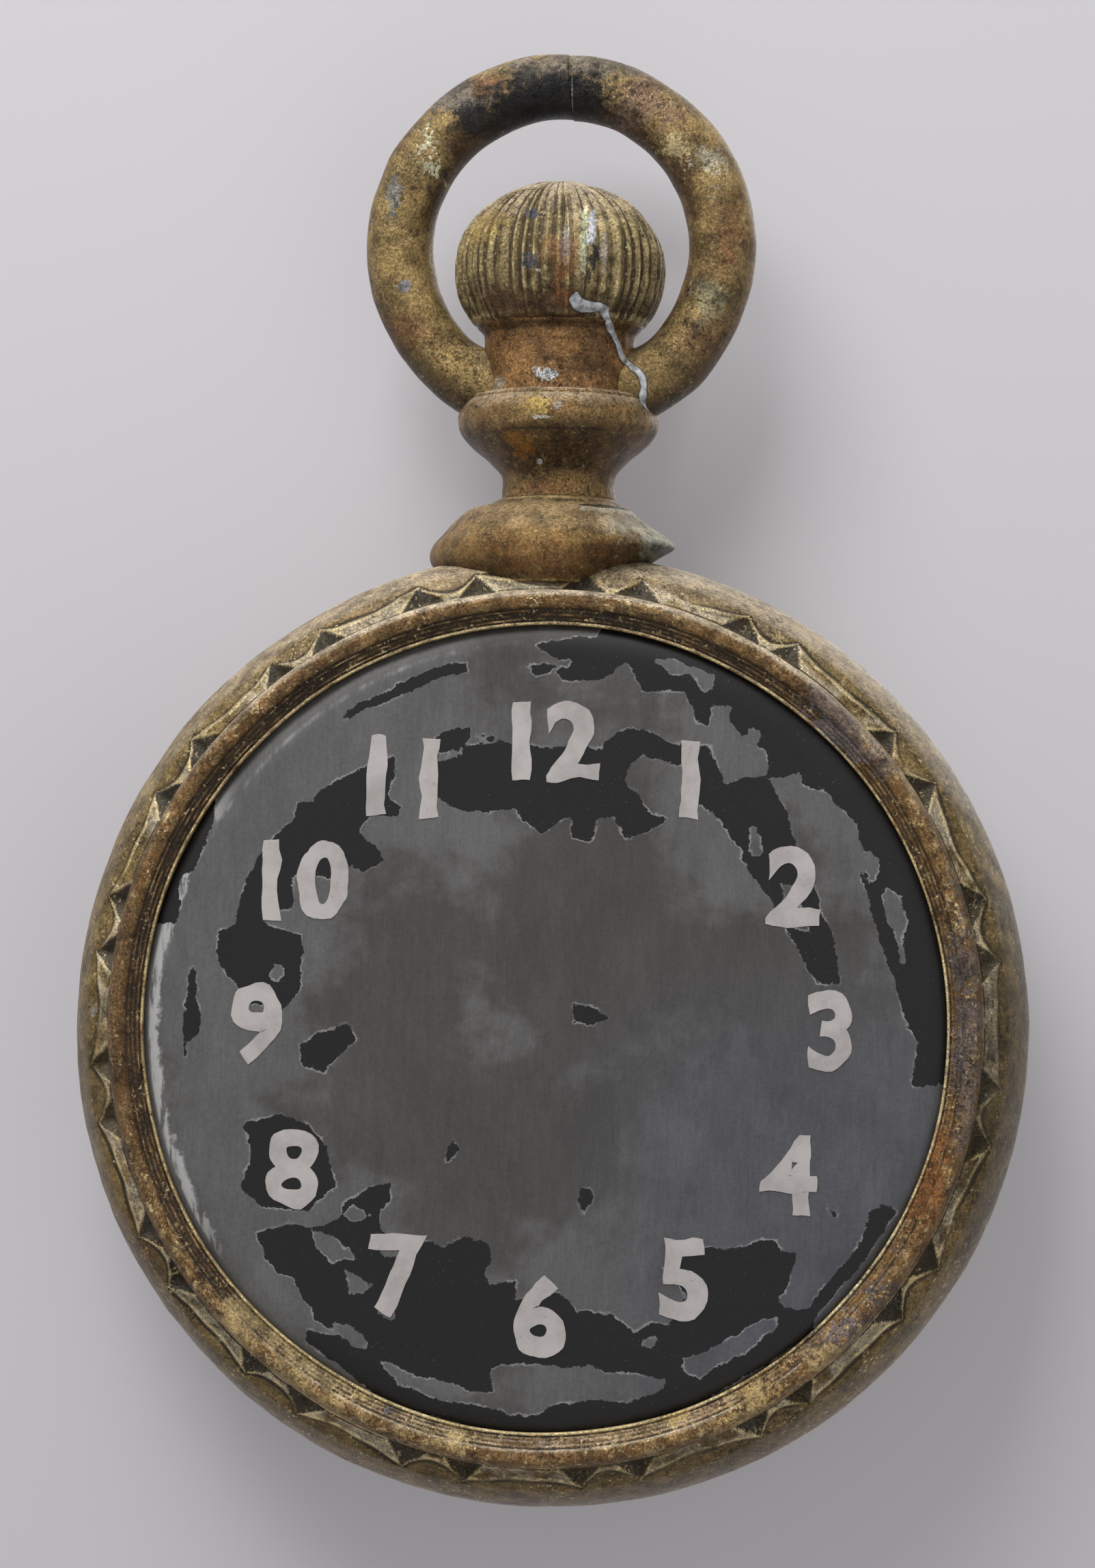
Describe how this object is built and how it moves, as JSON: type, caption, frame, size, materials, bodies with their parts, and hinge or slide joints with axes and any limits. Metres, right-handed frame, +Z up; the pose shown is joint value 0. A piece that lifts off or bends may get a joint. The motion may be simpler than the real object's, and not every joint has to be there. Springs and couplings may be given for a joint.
{
  "type": "pocket watch trade sign",
  "caption": "Two-sided hanging shop sign in the shape of an open-faced pocket watch, with a notched case border, fluted crown and ring bow.",
  "frame": {"origin": "inside top of the bow, in the middle of its thickness, where a hook bears", "axes": "+Z up, the front dial faces -Y, +X to the right as seen from the front"},
  "size_m": [0.399, 0.1, 0.61],
  "materials": {
    "bronzed_casting": "satin",
    "dial_sheet": "satin",
    "inside_zinc": "matte",
    "iron_fixings": "satin",
    "repair_metal": "matte"
  },
  "bodies": {
    "root": {"case_front_shell": "bronzed_casting", "case_back_shell": "bronzed_casting", "bezel_front": "bronzed_casting", "bezel_back": "bronzed_casting", "saddle": "bronzed_casting", "baluster": "bronzed_casting", "neck": "bronzed_casting", "crown": "bronzed_casting", "bow_left": "bronzed_casting", "bow_right": "bronzed_casting", "dial_front": "dial_sheet", "dial_back": "dial_sheet", "seam_strap": "inside_zinc", "bezel_screws_front": "iron_fixings", "bezel_screws_back": "iron_fixings", "dial_clips_front": "iron_fixings", "dial_clips_back": "iron_fixings", "bow_dowel": "iron_fixings", "bow_pins": "iron_fixings", "tie_rod": "iron_fixings", "tie_rod_nuts": "iron_fixings", "tie_rod_washer": "iron_fixings", "anchor_plate": "iron_fixings", "repair_bead": "repair_metal"}
  },
  "joints": []
}
